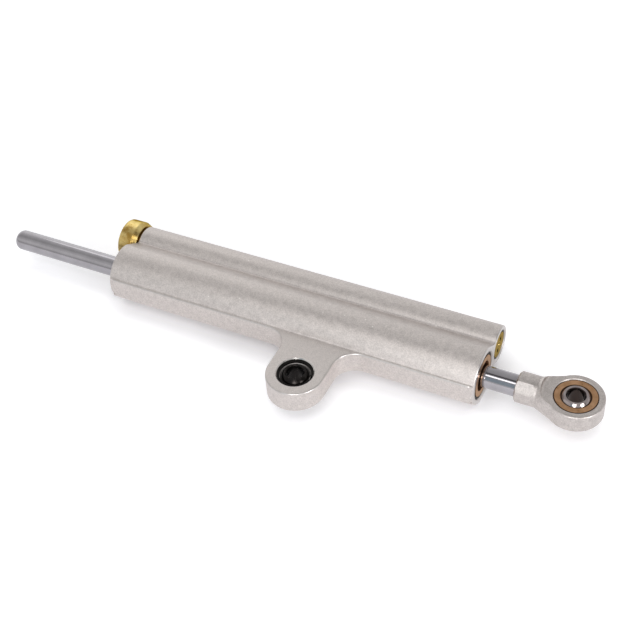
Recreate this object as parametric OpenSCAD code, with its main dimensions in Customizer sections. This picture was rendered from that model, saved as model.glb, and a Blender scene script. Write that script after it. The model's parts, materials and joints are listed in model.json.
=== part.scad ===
// Through-rod steering damper for a motorcycle: a cylinder body with a side tube for the
// adjuster and the oil compensator, a lug with a spherical bearing, and a chromed rod that
// slides in two seal heads and carries a rod end. Sizes are in millimetres. The origin is
// the centre of the lug's bearing, X runs along the rod and Z along both bolt holes.

/* [Cylinder body] */
// From the lug eye to the adjuster end of the body
body_rear = 110.5; // [104:0.5:125]
// From the lug eye to the rod-end side of the body
body_front = 75; // [69:1:90]
// Outside diameter of the main tube
tube_d = 27; // [26:0.5:31]
// Diameter of the main bore
bore_d = 22; // [21:0.5:23]
// Outside diameter of the side tube
side_d = 18; // [17.5:0.5:22]
// Distance between the main bore and the side tube, axis to axis
bore_spacing = 20.5; // [20.5:0.25:24]
// Diameter of the oil gallery in the side tube
gallery_d = 12; // [11:0.5:12.5]
// Diameter of the pockets at both ends of the side tube
pocket_d = 14; // [13.5:0.25:14.5]
// Depth of the pocket that the adjuster sits in
rear_pocket_l = 14; // [12:0.5:16]
// Depth of the pocket that the plug sits in
front_pocket_l = 10; // [9:0.5:12]
// Where the valley between the tubes leaves the main tube, as an angle above the axes' plane
valley_main_angle = 68.5; // [64:0.5:72]
// Where the valley meets the side tube, as an angle above the axes' plane
valley_side_angle = 135; // [125:1:140]
// Diameter of the two oil ports between the bores
port_d = 3; // [2:0.25:3.5]
// Slope of the oil ports against the bores
port_angle = 35; // [30:1:38]
// Chamfer at the mouths of the bores
mouth_chamfer = 0.5; // [0.3:0.1:0.8]

/* [Lug] */
// Distance from the lug eye to the rod axis
eye_offset = 34; // [32:0.5:42]
// Thickness of the lug and of the flat band along the tube
lug_t = 11; // [10:0.25:11.5]
// Rounding of the band's edges
band_round = 1.3; // [0.4:0.1:1.5]
// Radius of the lug's nose, and half its width
lug_r = 13.3; // [12.5:0.1:15]
// Radius of the blends between the lug and the main tube
lug_fillet = 10; // [6:0.5:12]
// Opening of the shoulder that the lug's bearing rests on
shoulder_d = 15.2; // [14.9:0.1:15.4]
// Chamfer round the lug's bore
eye_chamfer = 0.45; // [0.3:0.05:0.5]

/* [Spherical bearings] */
// Diameter of the bolt holes
bolt_d = 8; // [6:0.5:8]
// Diameter of the balls
ball_d = 14.8; // [14.4:0.1:15]
// How far the lug's ball stands out of the lug's faces
ball_proud = 0.1; // [0.05:0.05:0.2]
// How far the rod end's ball stands out of the eye's faces
rod_ball_proud = 0.6; // [0.3:0.05:0.8]
// Chamfer at the mouths of the races
race_chamfer = 0.6; // [0.3:0.05:0.7]
// Chamfer at the mouths of the bolt holes
bolt_chamfer = 0.4; // [0.2:0.05:0.45]
// Depth of the lug's outer race below the lug's faces
frame_race_depth = 1.5; // [1.3:0.05:1.6]
// Depth of the rod end's outer race below the eye's faces
rod_race_depth = 0.3; // [0.1:0.05:0.5]
// Outside diameter of the lug's outer race
frame_race_d = 16.4; // [16.2:0.1:17]
// Outside diameter of the rod end's outer race
rod_race_d = 19; // [17.5:0.25:19.5]
// Thickness of the ring that holds the lug's race
race_ring_t = 0.65; // [0.5:0.05:0.8]
// Radial width of the ring that holds the lug's race
race_ring_w = 1.65; // [1.4:0.05:1.9]
// Depth of that ring's groove
race_ring_groove = 0.45; // [0.3:0.05:0.6]
// Gap between the ends of that ring
race_ring_gap = 2; // [1.5:0.25:3]

/* [Rod] */
// Diameter of the rod
rod_d = 10; // [9.5:0.25:10.5]
// Length of rod that shows behind the body at rest
tail_l = 63.5; // [63.5:0.5:75]
// Length of rod that shows in front of the body at rest
neck_gap = 15.5; // [15:0.1:25]
// Round on the rod's free end
tip_round = 3.2; // [0.5:0.1:3.6]
// Diameter of the threaded stud in the rod end
stud_d = 8; // [7:0.25:8.5]
// Length of the threaded stud
stud_l = 11; // [9:0.5:11.5]

/* [Piston] */
// Travel of the rod into the body from rest
travel_in = 14; // [8:1:14]
// Travel of the rod out of the body from rest
travel_out = 61; // [50:1:61]
// Length of the piston
piston_l = 20; // [16:1:24]
// Oil left between the piston and a seal head at full travel
stop_gap = 1; // [0.5:0.25:2]
// Width of the sealing band round the piston
band_w = 8; // [5:0.5:9]
// Thickness of the sealing band
band_t = 1.4; // [1:0.1:1.8]
// Thickness of the rings that hold the piston on the rod
clip_t = 1; // [0.8:0.1:1.2]
// Height of those rings above the rod
clip_h = 2; // [1.5:0.1:2.5]
// Gap between the ends of those rings
clip_gap = 2.5; // [2:0.25:3.5]
// Thickness of the O-ring between the piston and the rod
piston_oring_t = 1.2; // [1:0.1:1.4]
// Depth of the grooves in the rod
clip_groove = 0.5; // [0.4:0.05:0.7]

/* [Seal heads] */
// Length of the part of a head that fits the bore
land_l = 12; // [11:0.5:14]
// Diameter of a head's inner nose
nose_d = 16; // [15.5:0.5:18]
// Outside diameter of the guide bushes
bush_d = 12; // [11.5:0.25:13]
// Length of the guide bushes
bush_l = 15; // [10:1:20]
// Distance from the end of the body to the retaining ring
ring_depth = 0.9; // [0.7:0.1:1.5]
// Thickness of the retaining rings
ring_t = 1.2; // [1:0.1:1.5]
// Radial width of the retaining rings
ring_w = 2; // [1.8:0.1:2.4]
// Depth of the retaining rings' grooves
ring_groove = 0.8; // [0.6:0.05:0.9]
// Gap between the ends of the retaining rings
ring_gap = 3; // [2:0.25:4]
// Distance from the head's shoulder to the rod seal's groove
seal_depth = 4.6; // [4.4:0.1:5]
// Diameter of the rod seal's groove
seal_d = 15.4; // [14:0.2:15.8]
// Length of the rod seal's groove
seal_l = 3.5; // [3:0.25:4]
// Depth of the recess in front of the scraper
recess_l = 1.4; // [1:0.1:2.4]
// Diameter of that recess and of the scraper
scraper_d = 14; // [13.75:0.25:16.5]
// Length of the scraper's seat
scraper_l = 3; // [2.5:0.25:3.5]
// Length of the scraper's lip
lip_l = 1.2; // [0.8:0.1:1.4]
// Thickness of the scraper's lip
lip_t = 0.7; // [0.5:0.05:0.9]
// Flare of that lip at its foot
lip_flare = 0.6; // [0.3:0.1:0.6]
// Thickness of the O-rings on the heads
head_oring_t = 1.8; // [1.5:0.1:2]

/* [Adjuster] */
// Diameter of the adjuster knob
knob_d = 21; // [19:0.5:21]
// Length of the adjuster knob
knob_l = 9.9; // [9:0.1:13]
// Diameter of the knob's back face
knob_back_d = 18.8; // [17.6:0.2:19]
// Length of the taper at the knob's back
knob_taper_l = 2.6; // [2:0.1:3.4]
// Round on the rim of the knob's front face
knob_rim = 1.4; // [0.6:0.1:2]
// Diameter of the adjuster body's flange
flange_d = 16; // [15.5:0.25:17]
// Thickness of the adjuster body's flange
flange_t = 0.7; // [0.6:0.05:1.2]
// Gap between the knob and that flange
knob_gap = 0.2; // [0.15:0.05:0.5]
// Diameter of the spindle
spindle_d = 4.4; // [4.2:0.1:4.8]
// Diameter of the spindle inside the knob
spindle_seat_d = 3.8; // [3.6:0.1:4]
// Diameter of the spindle's thread
thread_d = 3; // [2.6:0.1:3.6]
// Width of the square that keeps the needle from turning
square_w = 5.6; // [5.4:0.1:5.7]
// Diameter of the chamber round the needle
chamber_d = 8.2; // [8.1:0.1:8.4]
// Distance from the adjuster body's face to that square
square_depth = 10.5; // [10:0.25:10.75]
// Thickness of the spindle's shoulder
shoulder_t = 1.6; // [1.4:0.1:1.8]
// Length of the spindle's thread past its shoulder
thread_l = 8; // [7:0.5:8.5]
// Wall of the adjuster body between that chamber and the ring of oil outside it
annulus_wall = 0.8; // [0.6:0.1:1]
// Travel of the needle each way
needle_travel = 0.6; // [0.4:0.1:0.8]
// Gap between the needle and the spindle's shoulder with the valve open
needle_gap = 0.4; // [0.2:0.05:0.5]
// Radius of the needle's cone at its root
needle_root_r = 1.6; // [1.5:0.1:2]
// Radius of the needle's point
needle_tip_r = 0.5; // [0.3:0.1:0.6]
// How far the needle's point reaches into the jet at rest
needle_reach = 1.4; // [1:0.1:1.8]
// Diameter of the hole in the jet
jet_hole_d = 2.4; // [2:0.1:2.8]
// Outside diameter of the jet
jet_d = 9; // [8.6:0.1:9.4]
// Length of the jet
jet_l = 5; // [4:0.5:6]
// Diameter of the click ball
click_d = 3; // [2.5:0.1:3]
// Wall between the click ball and the adjuster body's outside
click_wall = 0.6; // [0.5:0.05:0.7]
// How far the click ball springs out into a dimple
click_travel = 0.4; // [0.2:0.05:0.5]
// Gap between the click ball and the knob between two dimples
click_gap = 0.05; // [0.02:0.01:0.1]
// Number of turns in the click spring
click_turns = 4; // [3:1:5]
// Number of clicks in one turn of the knob
clicks = 12; // [6:1:12]
// Depth of the click ball's hole
click_hole_l = 8; // [7:0.5:9]
// Depth of the knob screw's seat below the knob's face
screw_seat = 3.4; // [3:0.2:4]
// Length of the knob screw's thread
screw_l = 8; // [6:0.5:8.5]
// Diameter of the knob screw's thread
screw_d = 2; // [1.6:0.1:2.4]
// Diameter of the knob screw's head
screw_head_d = 6; // [5:0.25:7]
// Height of the knob screw's head
screw_head_h = 2.4; // [2:0.1:2.8]
// Width across the corners of the knob screw's socket
socket_w = 2.5; // [1.8:0.1:3]
// Depth of that socket
socket_l = 1.3; // [0.8:0.1:1.6]
// Thickness of the adjuster body's O-rings
adj_oring_t = 1.3; // [1.1:0.05:1.4]
// Distance from the pocket's floor to the rear O-ring
rear_oring_set = 4; // [3:0.25:5]
// Distance from the adjuster body's face to the spindle's O-ring
spindle_oring_set = 4; // [3:0.25:5]
// Thickness of the spindle's O-ring
spindle_oring_t = 0.9; // [0.8:0.05:1]
// Thickness of the wire of the click spring
click_wire = 0.4; // [0.3:0.05:0.45]

/* [Compensator] */
// Length of the compensator piston
comp_l = 8; // [7:0.5:9]
// Thickness of the compensator piston's floor
comp_floor = 3; // [2.8:0.1:3.6]
// Diameter of the cup that the compensator spring sits in
comp_cup_d = 9.2; // [8.8:0.1:9.6]
// Travel of the compensator piston as the oil cools
comp_travel = 5; // [3:0.25:6]
// Thickness of the wire of the compensator spring
comp_wire = 1.2; // [1:0.1:1.4]
// Number of turns in the compensator spring
comp_turns = 5; // [4:1:6]
// Diameter of the plug's pin holes
pin_hole_d = 2; // [1.4:0.1:2]
// Diameter of the circle through the plug's pin holes
pin_circle_d = 5.5; // [5:0.1:7]
// Angle of the plug's pin holes
pin_angle = 54; // [0:1:180]
// Depth of the plug's face below the end of the body
plug_recess = 0.35; // [0.2:0.05:0.6]
// Depth of the plug's pin holes
pin_hole_l = 3; // [2:0.25:4]
// Diameter of the centre mark that the lathe leaves in the plug's face
plug_mark_d = 2.6; // [2:0.1:2.8]
// Angle of that mark's cone
plug_mark_angle = 60; // [60:10:120]
// Distance from the end of the body to the plug's retaining ring
plug_ring_depth = 0.8; // [0.6:0.1:1]
// Thickness of the plug's retaining ring
plug_ring_t = 1; // [0.8:0.1:1.2]
// Radial width of the plug's retaining ring
plug_ring_w = 1.2; // [1:0.1:1.3]
// Depth of that ring's groove
plug_ring_groove = 0.45; // [0.3:0.05:0.5]
// Gap between the ends of the plug's retaining ring
plug_ring_gap = 2; // [1.5:0.25:3]
// Thickness of the plug's O-ring
plug_oring_t = 1.5; // [1.3:0.1:1.6]
// Thickness of the compensator piston's O-ring
comp_oring_t = 1.4; // [1.2:0.05:1.4]

/* [Rod end] */
// Diameter of the collar
collar_d = 14; // [13:0.25:15]
// Distance from the collar's end to the eye
rod_end_l = 25.5; // [25:0.1:28]
// Radius of the eye's outside
rod_eye_r = 12.5; // [11.5:0.1:14]
// Thickness of the eye
rod_eye_t = 9; // [8.8:0.1:10]
// Radius of the spot faces round the eye
spot_r = 15; // [14.5:0.1:16.5]
// Rounding at the foot of the spot faces' walls
spot_round = 1.6; // [0.5:0.1:2.2]
// Length of the collar in front of the neck's taper
neck_start = 9.5; // [8.5:0.25:11]
// Distance across the wrench flats
wrench_w = 13; // [12:0.1:13.6]
// Length of the wrench flats
wrench_l = 8.5; // [6:0.5:9]
// Direction that the wrench flats face, as an angle above the front
wrench_angle = 45; // [0:5:90]
// Chamfer on the collar's end
collar_chamfer = 0.7; // [0.4:0.1:1.4]
// Rounding of the eye's rims
rod_eye_round = 0.8; // [0.3:0.1:1.2]
// Room past the stud in the collar's threaded hole
stud_room = 0.5; // [0.3:0.1:0.8]

/* [Fits] */
// Radial clearance of pieces that slide or turn
running = 0.02; // [0.015:0.005:0.05]
// Radial clearance of pieces that are seated
seated = 0.03; // [0.02:0.01:0.08]
// Clearance round balls in their races
ball_gap = 0.03; // [0.02:0.01:0.05]
// Clearance at the ends of the springs and round them
spring_gap = 0.1; // [0.05:0.01:0.12]
// Clearance past the knob screw's tip
tip_gap = 0.5; // [0.3:0.1:0.8]
// Radial clearance between pieces that never touch
free_gap = 0.2; // [0.15:0.05:0.25]

/* [Hidden] */
$fn = 96;
over = 1;

rod_y = eye_offset;
side_y = eye_offset + bore_spacing;
tube_r = tube_d / 2;
bore_r = bore_d / 2;
side_r = side_d / 2;
rod_r = rod_d / 2;

silver = [0.74, 0.73, 0.71];
brass = [0.80, 0.62, 0.26];
bronze = [0.55, 0.40, 0.24];
chrome = [0.82, 0.84, 0.87];
steel = [0.55, 0.56, 0.58];
black = [0.10, 0.10, 0.11];
alloy = [0.68, 0.69, 0.70];

// Seal heads fill what the piston and its travel leave of the bore
body_l = body_rear + body_front;
groove_l = clip_t + 2 * seated;
free_l = travel_in + travel_out + piston_l + 2 * (groove_l + stop_gap);
head_l = (body_l - free_l) / 2;
piston_x = -body_rear + head_l + stop_gap + groove_l + travel_in;
land_depth = ring_depth + ring_t + seated;

// A solid of revolution about the X axis from an outline of [radius, distance] points
module turned(x, y) {
    translate([x, y, 0])
        rotate([0, 90, 0])
            rotate_extrude()
                children();
}

// A plain ring about the X axis
module ring_x(x, y, length, r_out, r_in) {
    turned(x, y)
        translate([r_in, 0])
            square([r_out - r_in, length]);
}

// A plain rod about the X axis
module bar_x(x, y, length, r) {
    translate([x, y, 0])
        rotate([0, 90, 0])
            cylinder(h = length, r = r);
}

// An O-ring that fills a groove between two radii
module oring_x(x, y, r_out, r_in) {
    turned(x, y)
        translate([(r_out + r_in) / 2, 0])
            circle(d = r_out - r_in - 2 * seated, $fn = 32);
}

// The groove for an O-ring on the side tube's axis
module groove_x(x, r, t) {
    difference() {
        bar_x(x - t / 2 - free_gap, side_y, t + 2 * free_gap, r + over);
        bar_x(x - t, side_y, 2 * t, r - t);
    }
}

// A conical chamfer that opens a bore's mouth towards +X or -X
module mouth_x(x, y, r, side) {
    turned(x, y)
        polygon([[0, 0], [r + mouth_chamfer, 0], [r, -side * mouth_chamfer], [0, -side * mouth_chamfer]]);
}

// A retaining ring with its gap
module snap_ring_x(x, y, thickness, r_out, r_in, gap) {
    difference() {
        ring_x(x, y, thickness, r_out, r_in);
        translate([x - over, y, -r_out - over])
            translate([0, -gap / 2, 0])
                cube([thickness + 2 * over, gap, r_out + over]);
    }
}

// The body's cross-section, with Y to the right and Z up
function on_circle(y, r, a) = [y + r * cos(a), r * sin(a)];
valley_top = on_circle(rod_y, tube_r, valley_main_angle);
valley_low = on_circle(side_y, side_r, valley_side_angle);

module body_section() {
    difference() {
        union() {
            translate([rod_y, 0])
                circle(r = tube_r);
            translate([side_y, 0])
                circle(r = side_r);
            translate([rod_y - tube_r + band_round, -lug_t / 2])
                square([tube_r - band_round, lug_t]);
            translate([rod_y - tube_r, -lug_t / 2 + band_round])
                square([tube_r, lug_t - 2 * band_round]);
            for (side = [-1, 1])
                translate([rod_y - tube_r + band_round, side * (lug_t / 2 - band_round)])
                    circle(r = band_round);
            polygon([[rod_y, valley_top[1]], valley_top, valley_low, [side_y, 0],
                [valley_low[0], -valley_low[1]], [valley_top[0], -valley_top[1]],
                [rod_y, -valley_top[1]]]);
        }
        for (side = [-1, 1])
            polygon([[valley_top[0], side * valley_top[1]], [valley_low[0], side * valley_low[1]],
                [valley_low[0], side * tube_d], [valley_top[0], side * tube_d]]);
    }
}

lug_root = rod_y - tube_r;

module lug_outline() {
    circle(r = lug_r);
    translate([-lug_r, 0])
        square([2 * lug_r, rod_y - tube_r / 2]);
    difference() {
        translate([-lug_r - lug_fillet, lug_root - lug_fillet])
            square([2 * (lug_r + lug_fillet), lug_fillet + tube_r / 2]);
        for (side = [-1, 1])
            translate([side * (lug_r + lug_fillet), lug_root - lug_fillet])
                circle(r = lug_fillet);
    }
}

frame_race_w = lug_t - 2 * frame_race_depth;
race_half = frame_race_w / 2;
race_ring_z = race_half + seated;
race_r = frame_race_d / 2;
race_ring_r = race_r + race_ring_groove;

module lug_bore() {
    translate([0, 0, -race_half - seated])
        cylinder(h = lug_t, r = race_r + running);
    translate([0, 0, -lug_t])
        cylinder(h = 2 * lug_t, d = shoulder_d);
    translate([0, 0, race_ring_z])
        cylinder(h = race_ring_t + 2 * seated, r = race_ring_r);
    translate([0, 0, lug_t / 2 - eye_chamfer])
        cylinder(h = eye_chamfer, r1 = race_r + running, r2 = race_r + running + eye_chamfer);
}

// The oil ports are drilled from the main bore's mouths, so that they need no plugs
port_depth = (bore_d - port_d / 2 / cos(port_angle) - mouth_chamfer) / tan(port_angle);
port_wall = bore_spacing - bore_r - gallery_d / 2;
port_mouth = port_depth + port_wall / tan(port_angle);
port_width = port_d / sin(port_angle);

module port(x, side) {
    translate([x, rod_y + bore_r, 0])
        rotate([0, 0, side > 0 ? port_angle : 180 - port_angle])
            rotate([0, 90, 0])
                translate([0, 0, -port_d])
                    cylinder(h = port_wall / sin(port_angle) + 2 * port_d, d = port_d);
}

ring_r = bore_r + ring_groove;

module cylinder_body() {
    color(silver)
    difference() {
        union() {
            translate([-body_rear, 0, 0])
                rotate([90, 0, 90])
                    linear_extrude(height = body_l)
                        body_section();
            translate([0, 0, -lug_t / 2])
                linear_extrude(height = lug_t)
                    lug_outline();
        }
        bar_x(-body_rear - over, rod_y, body_l + 2 * over, bore_r);
        mouth_x(-body_rear, rod_y, bore_r, -1);
        mouth_x(body_front, rod_y, bore_r, 1);
        for (x = [-body_rear + ring_depth, body_front - ring_depth - ring_t])
            bar_x(x - seated, rod_y, ring_t + 2 * seated, ring_r);
        bar_x(-body_rear + rear_pocket_l - over, side_y,
            body_l - rear_pocket_l - front_pocket_l + 2 * over, gallery_d / 2);
        bar_x(-body_rear - over, side_y, rear_pocket_l + over, pocket_d / 2);
        bar_x(body_front - front_pocket_l, side_y, front_pocket_l + over, pocket_d / 2);
        mouth_x(body_front, side_y, pocket_d / 2, 1);
        bar_x(body_front - plug_ring_depth - plug_ring_t - seated, side_y,
            plug_ring_t + 2 * seated, pocket_d / 2 + plug_ring_groove);
        port(body_front - port_depth, -1);
        port(-body_rear + port_depth, 1);
        lug_bore();
    }
}

// Everything in a seal head is drawn at the front end and turned round for the rear one
module at_end(side) {
    if (side > 0)
        translate([body_front, rod_y, 0])
            children();
    else
        translate([-body_rear, rod_y, 0])
            rotate([0, 0, 180])
                children();
}

boss_r = bore_r - ring_w + ring_groove - free_gap;
scraper_x = -ring_depth / 3 - recess_l - scraper_l;
head_oring_x = -land_depth - land_l + head_oring_t + 1;
oring_groove_l = head_oring_t + 2 * free_gap;

module head(side) {
    color(bronze)
    at_end(side)
    difference() {
        union() {
            bar_x(-land_depth - over, 0, land_depth + over - ring_depth / 3, boss_r);
            bar_x(-land_depth - land_l, 0, land_l, bore_r - seated);
            bar_x(-head_l, 0, head_l - land_depth - over, nose_d / 2);
        }
        bar_x(-head_l - over, 0, head_l + 2 * over, rod_r + free_gap);
        bar_x(-head_l - over, 0, bush_l + over, bush_d / 2);
        bar_x(-land_depth - seal_depth - seal_l, 0, seal_l, seal_d / 2);
        bar_x(scraper_x, 0, over - scraper_x, scraper_d / 2);
        difference() {
            bar_x(head_oring_x - oring_groove_l / 2, 0, oring_groove_l, bore_r + over);
            bar_x(head_oring_x - oring_groove_l, 0, 2 * oring_groove_l, bore_r - head_oring_t);
        }
    }
}

module retaining_ring(side) {
    color(black)
    at_end(side)
        snap_ring_x(-ring_depth - ring_t, 0, ring_t, ring_r - seated, ring_r - ring_w, ring_gap);
}

module guide_bush(side) {
    color(bronze)
    at_end(side)
        ring_x(-head_l + seated, 0, bush_l - 2 * seated, bush_d / 2 - seated, rod_r + running);
}

module rod_seal(side) {
    color(black)
    at_end(side)
        ring_x(-land_depth - seal_depth - seal_l + seated, 0, seal_l - 2 * seated,
            seal_d / 2 - seated, rod_r + running);
}

// The scraper has a lip that leans out along the rod
module scraper(side) {
    color(black)
    at_end(side)
        turned(scraper_x + seated, 0)
            polygon([[rod_r + running, 0], [scraper_d / 2 - seated, 0],
                [scraper_d / 2 - seated, scraper_l - lip_l], [rod_r + lip_t + lip_flare, scraper_l - lip_l],
                [rod_r + lip_t, scraper_l - 2 * seated], [rod_r + running, scraper_l - 2 * seated]]);
}

module head_oring(side) {
    color(black)
    at_end(side)
        oring_x(head_oring_x, 0, bore_r, bore_r - head_oring_t);
}

module front_head() { head(1); }
module rear_head() { head(-1); }
module front_retaining_ring() { retaining_ring(1); }
module rear_retaining_ring() { retaining_ring(-1); }
module front_guide_bush() { guide_bush(1); }
module rear_guide_bush() { guide_bush(-1); }
module front_rod_seal() { rod_seal(1); }
module rear_rod_seal() { rod_seal(-1); }
module front_scraper() { scraper(1); }
module rear_scraper() { scraper(-1); }
module front_head_oring() { head_oring(1); }
module rear_head_oring() { head_oring(-1); }

// The plug closes the side tube and carries the compensator spring
plug_back = body_front - front_pocket_l;
plug_land_l = front_pocket_l - plug_ring_depth - plug_ring_t - seated;
plug_ring_r = pocket_d / 2 + plug_ring_groove - seated;
plug_oring_x = plug_back + plug_land_l / 2;

module reservoir_plug() {
    color(brass)
    difference() {
        union() {
            bar_x(plug_back, side_y, plug_land_l, pocket_d / 2 - seated);
            bar_x(plug_back, side_y, front_pocket_l - plug_recess, plug_ring_r - plug_ring_w - free_gap);
        }
        groove_x(plug_oring_x, pocket_d / 2, plug_oring_t);
        for (turn = [0, 180])
            translate([body_front - plug_recess - pin_hole_l, side_y, 0])
                rotate([pin_angle + turn, 0, 0])
                    translate([0, pin_circle_d / 2, 0])
                        rotate([0, 90, 0])
                            cylinder(h = pin_hole_l + over, d = pin_hole_d, $fn = 32);
        mark_l = plug_mark_d / 2 / tan(plug_mark_angle / 2);
        translate([body_front - plug_recess - mark_l, side_y, 0])
            rotate([0, 90, 0])
                cylinder(h = mark_l + over, d1 = 0, d2 = plug_mark_d * (1 + over / mark_l), $fn = 48);
    }
}

module plug_oring() {
    color(black)
        oring_x(plug_oring_x, side_y, pocket_d / 2, pocket_d / 2 - plug_oring_t);
}

module plug_retaining_ring() {
    color(black)
        snap_ring_x(body_front - plug_ring_depth - plug_ring_t, side_y, plug_ring_t,
            plug_ring_r, plug_ring_r - plug_ring_w, plug_ring_gap);
}

// The compensator piston lets the oil expand against its spring
comp_front = body_front - port_mouth + port_width / 2 + 0.4 + comp_travel;
comp_back = comp_front + comp_l;
comp_oring_x = comp_front + comp_floor / 2;

module compensator_piston() {
    color(alloy)
    difference() {
        bar_x(comp_front, side_y, comp_l, gallery_d / 2 - running);
        bar_x(comp_front + comp_floor, side_y, comp_l, comp_cup_d / 2);
        groove_x(comp_oring_x, gallery_d / 2, comp_oring_t);
    }
}

module compensator_oring() {
    color(black)
        oring_x(comp_oring_x, side_y, gallery_d / 2, gallery_d / 2 - comp_oring_t);
}

// A coil spring about the X axis, swept round one unbroken helix
module coil_x(x, y, length, coil_r, wire, turns) {
    sides = 6;
    steps = 16;
    rings = turns * steps;
    rise = length - wire;
    pitch = rise / turns;
    slope = atan2(pitch, 2 * PI * coil_r);
    points = [for (i = [0:rings]) let (a = 360 * i / steps, c = x + wire / 2 + rise * i / rings)
        for (j = [0:sides - 1]) let (b = 360 * j / sides, u = wire / 2 * cos(b), v = wire / 2 * sin(b))
            [c + v * cos(slope), y + (coil_r + u) * cos(a) + v * sin(slope) * sin(a),
                (coil_r + u) * sin(a) - v * sin(slope) * cos(a)]];
    walls = [for (i = [0:rings - 1]) for (j = [0:sides - 1])
        let (k = (j + 1) % sides, p = i * sides)
            each [[p + j, p + k, p + sides + k], [p + j, p + sides + k, p + sides + j]]];
    first = [for (j = [1:sides - 2]) [0, j + 1, j]];
    last = [for (j = [1:sides - 2]) [rings * sides, rings * sides + j, rings * sides + j + 1]];
    polyhedron(points = points, faces = concat(walls, first, last));
}

module compensator_spring() {
    color(steel)
        coil_x(comp_front + comp_floor + spring_gap, side_y,
            plug_back - comp_front - comp_floor - 2 * spring_gap,
            comp_cup_d / 2 - comp_wire / 2 - 2 * spring_gap, comp_wire, comp_turns);
}

// The adjuster body holds the spindle, the needle and the jet in the side tube
adj_face = -body_rear - flange_t;
adj_pocket_end = -body_rear + rear_pocket_l;
annulus_x = -body_rear + port_mouth;
annulus_l = port_width + 2;
annulus_d = chamber_d + 2 * annulus_wall;
square_start = adj_face + square_depth;
chamber_start = annulus_x - annulus_l / 2 - 1;
rear_oring_x = -body_rear + rear_pocket_l - rear_oring_set;
front_oring_x = annulus_x + annulus_l / 2 + adj_oring_t + 1;
jet_start = front_oring_x + adj_oring_t / 2 + 1;
adj_end = jet_start + jet_l;
click_r = pocket_d / 2 - click_wall - click_d / 2;
click_y = side_y + click_r;

module adjuster_body() {
    color(brass)
    difference() {
        union() {
            bar_x(adj_face, side_y, flange_t, flange_d / 2);
            bar_x(adj_face, side_y, flange_t + rear_pocket_l - seated, pocket_d / 2 - seated);
            bar_x(adj_pocket_end - over, side_y, adj_end - adj_pocket_end + over, gallery_d / 2 - seated);
        }
        bar_x(adj_face - over, side_y, flange_t + rear_pocket_l, spindle_d / 2 + running);
        translate([square_start, side_y - square_w / 2 - running, -square_w / 2 - running])
            cube([chamber_start - square_start + over, square_w + 2 * running, square_w + 2 * running]);
        bar_x(chamber_start, side_y, adj_end - chamber_start, chamber_d / 2);
        bar_x(jet_start, side_y, jet_l + over, jet_d / 2);
        difference() {
            bar_x(annulus_x - annulus_l / 2, side_y, annulus_l, gallery_d);
            bar_x(annulus_x - annulus_l, side_y, 2 * annulus_l, annulus_d / 2);
        }
        for (turn = [0, 90])
            translate([annulus_x, side_y, 0])
                rotate([turn, 0, 0])
                    cylinder(h = gallery_d, d = port_d - 1, center = true, $fn = 32);
        bar_x(adj_face - over, click_y, click_hole_l + over, click_d / 2 + running);
        groove_x(rear_oring_x, pocket_d / 2, adj_oring_t);
        groove_x(front_oring_x, gallery_d / 2, adj_oring_t);
    }
}

module adjuster_rear_oring() {
    color(black)
        oring_x(rear_oring_x, side_y, pocket_d / 2, pocket_d / 2 - adj_oring_t);
}

module adjuster_front_oring() {
    color(black)
        oring_x(front_oring_x, side_y, gallery_d / 2, gallery_d / 2 - adj_oring_t);
}

module needle_jet() {
    color(brass)
    difference() {
        bar_x(jet_start + seated, side_y, jet_l - seated, jet_d / 2 - seated);
        bar_x(jet_start - over, side_y, jet_l + 2 * over, jet_hole_d / 2);
    }
}

// The spindle turns in the adjuster body, held by its shoulder inside and the knob outside
knob_back = adj_face - knob_gap;
knob_front = knob_back - knob_l;
seat_x = knob_back - 1;
spindle_front = knob_front + screw_seat;
thread_end = square_start + shoulder_t + thread_l;
spindle_oring_x = adj_face + spindle_oring_set;

module adjuster_spindle() {
    color(steel)
    difference() {
        union() {
            bar_x(seat_x, side_y, square_start - seat_x + over, spindle_d / 2);
            bar_x(spindle_front, side_y, seat_x - spindle_front + over, spindle_seat_d / 2);
            bar_x(square_start + running, side_y, shoulder_t, square_w / 2 - running);
            bar_x(square_start, side_y, thread_end - square_start, thread_d / 2);
        }
        bar_x(spindle_front - over, side_y, screw_l + over, screw_d / 2 + seated);
        groove_x(spindle_oring_x, spindle_d / 2, spindle_oring_t);
    }
}

module spindle_oring() {
    color(black)
        oring_x(spindle_oring_x, side_y, spindle_d / 2, spindle_d / 2 - spindle_oring_t);
}

// The needle slides on the spindle's left-hand thread and its square keeps it from turning
needle_start = square_start + shoulder_t + needle_travel + needle_gap;
needle_shank = chamber_start - needle_start + 1;
needle_tip = jet_start + needle_reach;
cone_start = needle_start + needle_shank - 2;

module metering_needle() {
    color(brass)
    difference() {
        union() {
            translate([needle_start, side_y - square_w / 2 + running, -square_w / 2 + running])
                cube([cone_start - needle_start, square_w - 2 * running, square_w - 2 * running]);
            turned(cone_start - over, side_y)
                polygon([[0, 0], [needle_root_r, 0], [needle_root_r, 2 * over],
                    [needle_tip_r, needle_tip - cone_start + over], [0, needle_tip - cone_start + over]]);
        }
        bar_x(needle_start - over, side_y, thread_end + needle_travel + needle_gap - needle_start + over,
            thread_d / 2 + running);
    }
}

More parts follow.
